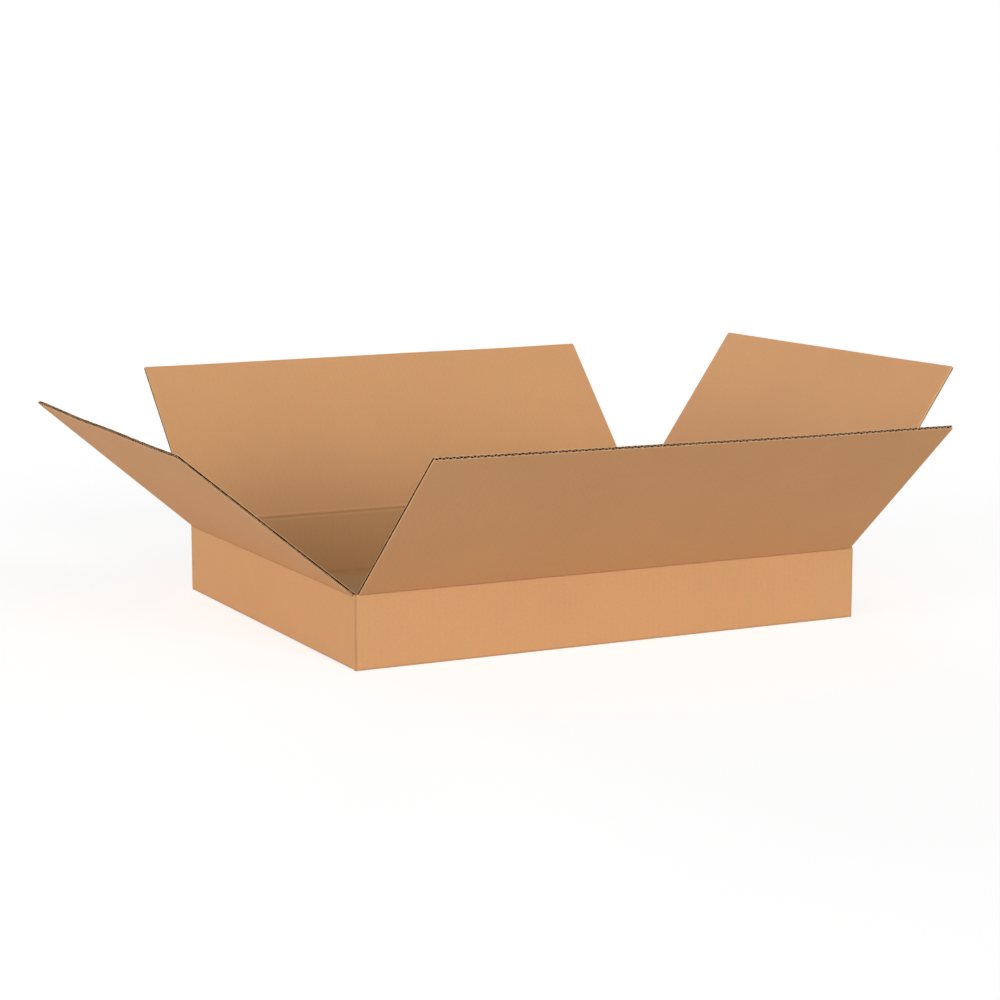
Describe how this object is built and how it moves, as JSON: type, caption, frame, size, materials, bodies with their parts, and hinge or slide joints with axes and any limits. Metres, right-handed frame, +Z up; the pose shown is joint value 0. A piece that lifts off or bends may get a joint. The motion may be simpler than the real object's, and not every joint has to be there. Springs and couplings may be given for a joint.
{
  "type": "cardboard box",
  "caption": "Shallow corrugated carton with a closed bottom, its major and minor top flaps hinged at their scores and standing open outward.",
  "frame": {"origin": "centre of the base, on the surface the carton stands on", "axes": "+X along the length, +Y to the back, +Z up"},
  "size_m": [0.9843, 0.8917, 0.2925],
  "materials": {
    "kraft_board": "matt kraft liner",
    "kraft_flaps": "matt kraft liner"
  },
  "bodies": {
    "box": {"box_body": "kraft_board"},
    "front_panel": {"front_flap": "kraft_flaps"},
    "back_panel": {"back_flap": "kraft_flaps"},
    "left_panel": {"left_flap": "kraft_flaps"},
    "right_panel": {"right_flap": "kraft_flaps"}
  },
  "joints": [
    {"name": "front_fold", "type": "hinge", "parent": "box", "child": "front_panel", "pos_m": [0, -0.256, 0.0852], "axis": [1, 0, 0], "range_deg": [-139.4, 57.6]},
    {"name": "back_fold", "type": "hinge", "parent": "box", "child": "back_panel", "pos_m": [0, 0.256, 0.0852], "axis": [-1, 0, 0], "range_deg": [-135.7, 61.3]},
    {"name": "left_fold", "type": "hinge", "parent": "box", "child": "left_panel", "pos_m": [-0.3195, 0, 0.081], "axis": [0, -1, 0], "range_deg": [-140.5, 56.5]},
    {"name": "right_fold", "type": "hinge", "parent": "box", "child": "right_panel", "pos_m": [0.3195, 0, 0.081], "axis": [0, 1, 0], "range_deg": [-124.6, 72.4]}
  ]
}
